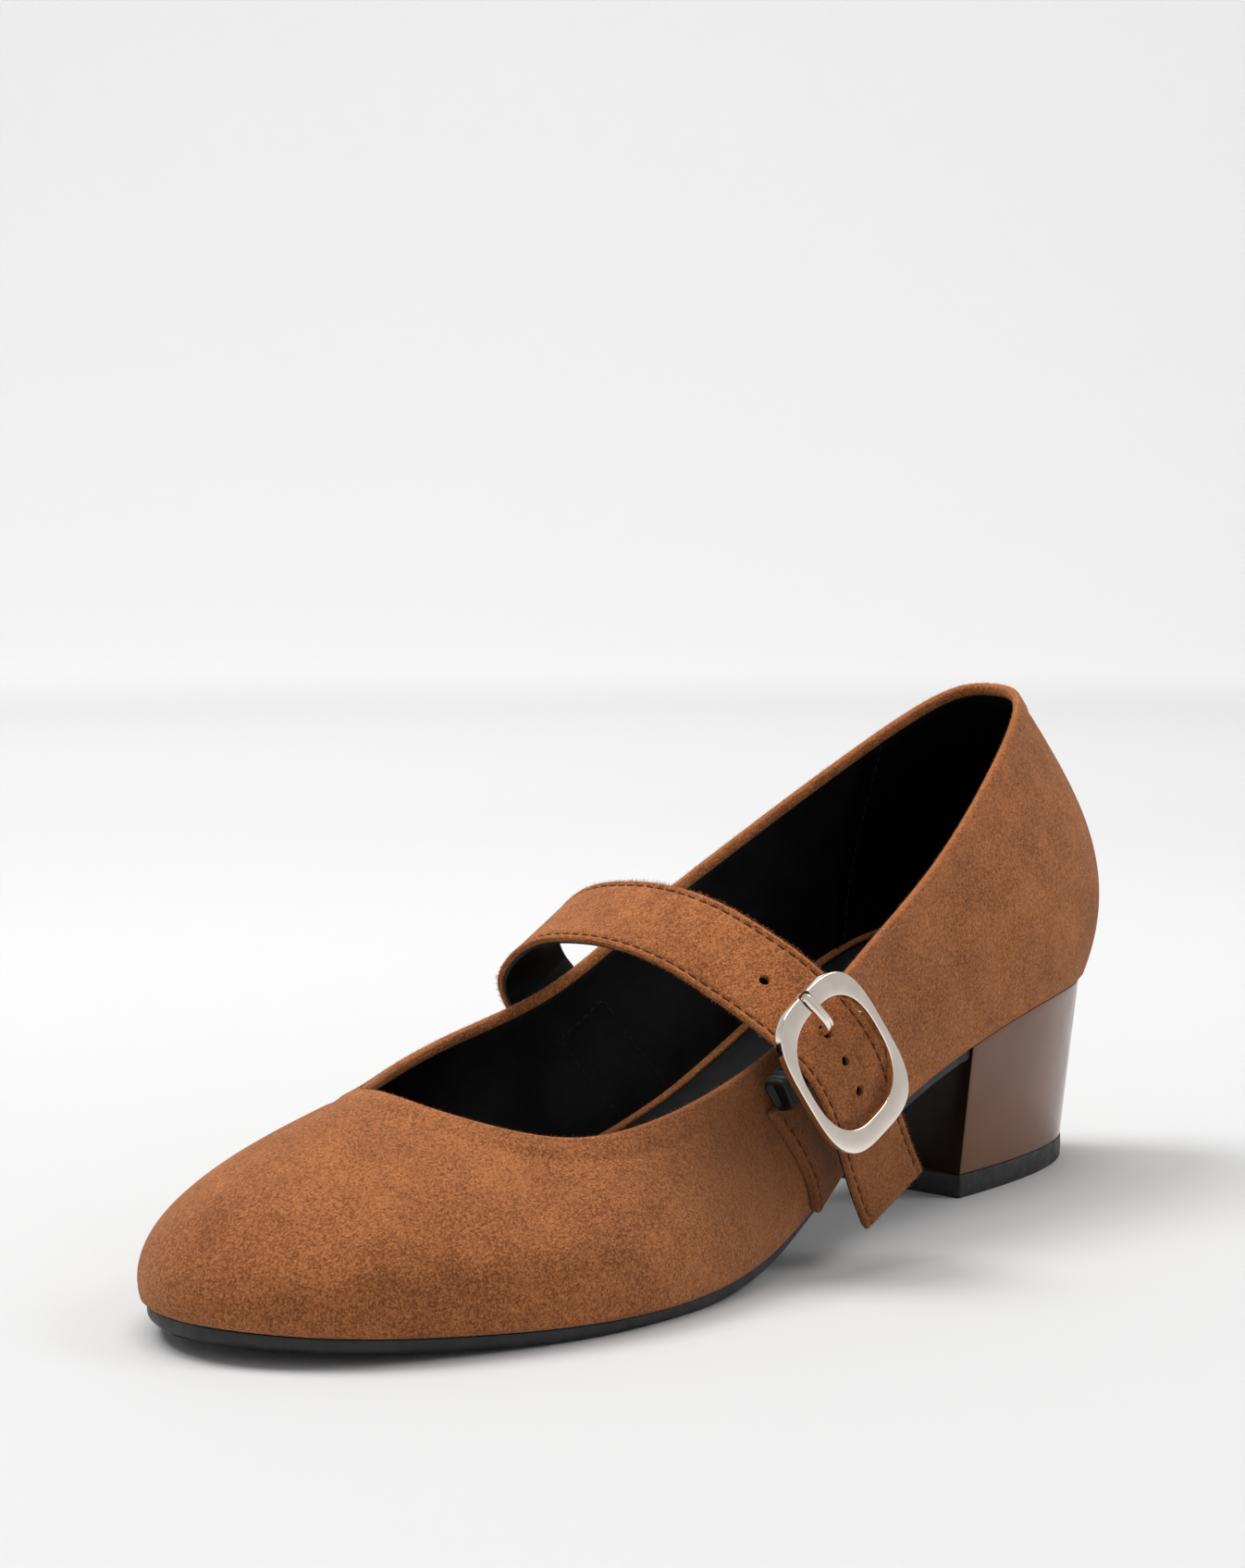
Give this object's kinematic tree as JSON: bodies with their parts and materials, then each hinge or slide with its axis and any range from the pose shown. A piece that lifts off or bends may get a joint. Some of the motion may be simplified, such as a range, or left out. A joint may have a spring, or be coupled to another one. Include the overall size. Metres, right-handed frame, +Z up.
{
  "type": "mary jane pump",
  "caption": "Left foot low block-heel pump with a punched suede instep strap, side buckle on an elastic loop, open lined upper and thin sole",
  "frame": {"origin": "under the middle of the shoe's box, on the floor", "axes": "+X from heel to toe, +Y to the wearer's left, which is the lateral side of this left shoe, +Z up"},
  "size_m": [0.2442, 0.0882, 0.1012],
  "materials": {
    "suede": "brown microfibre suede with a short nap",
    "sock": "black synthetic leather sock",
    "rubber": "black moulded rubber",
    "heel_plastic": "dark brown gloss plastic",
    "elastic": "black ribbed elastic",
    "metal": "polished pale gold plating"
  },
  "bodies": {
    "root": {"upper": "suede", "insole": "sock", "outsole": "rubber", "heel_block": "heel_plastic", "heel_cap": "rubber", "strap": "suede", "buckle_tab": "suede", "elastic_loop": "elastic", "buckle_frame": "metal", "buckle_prong": "metal"}
  },
  "joints": []
}
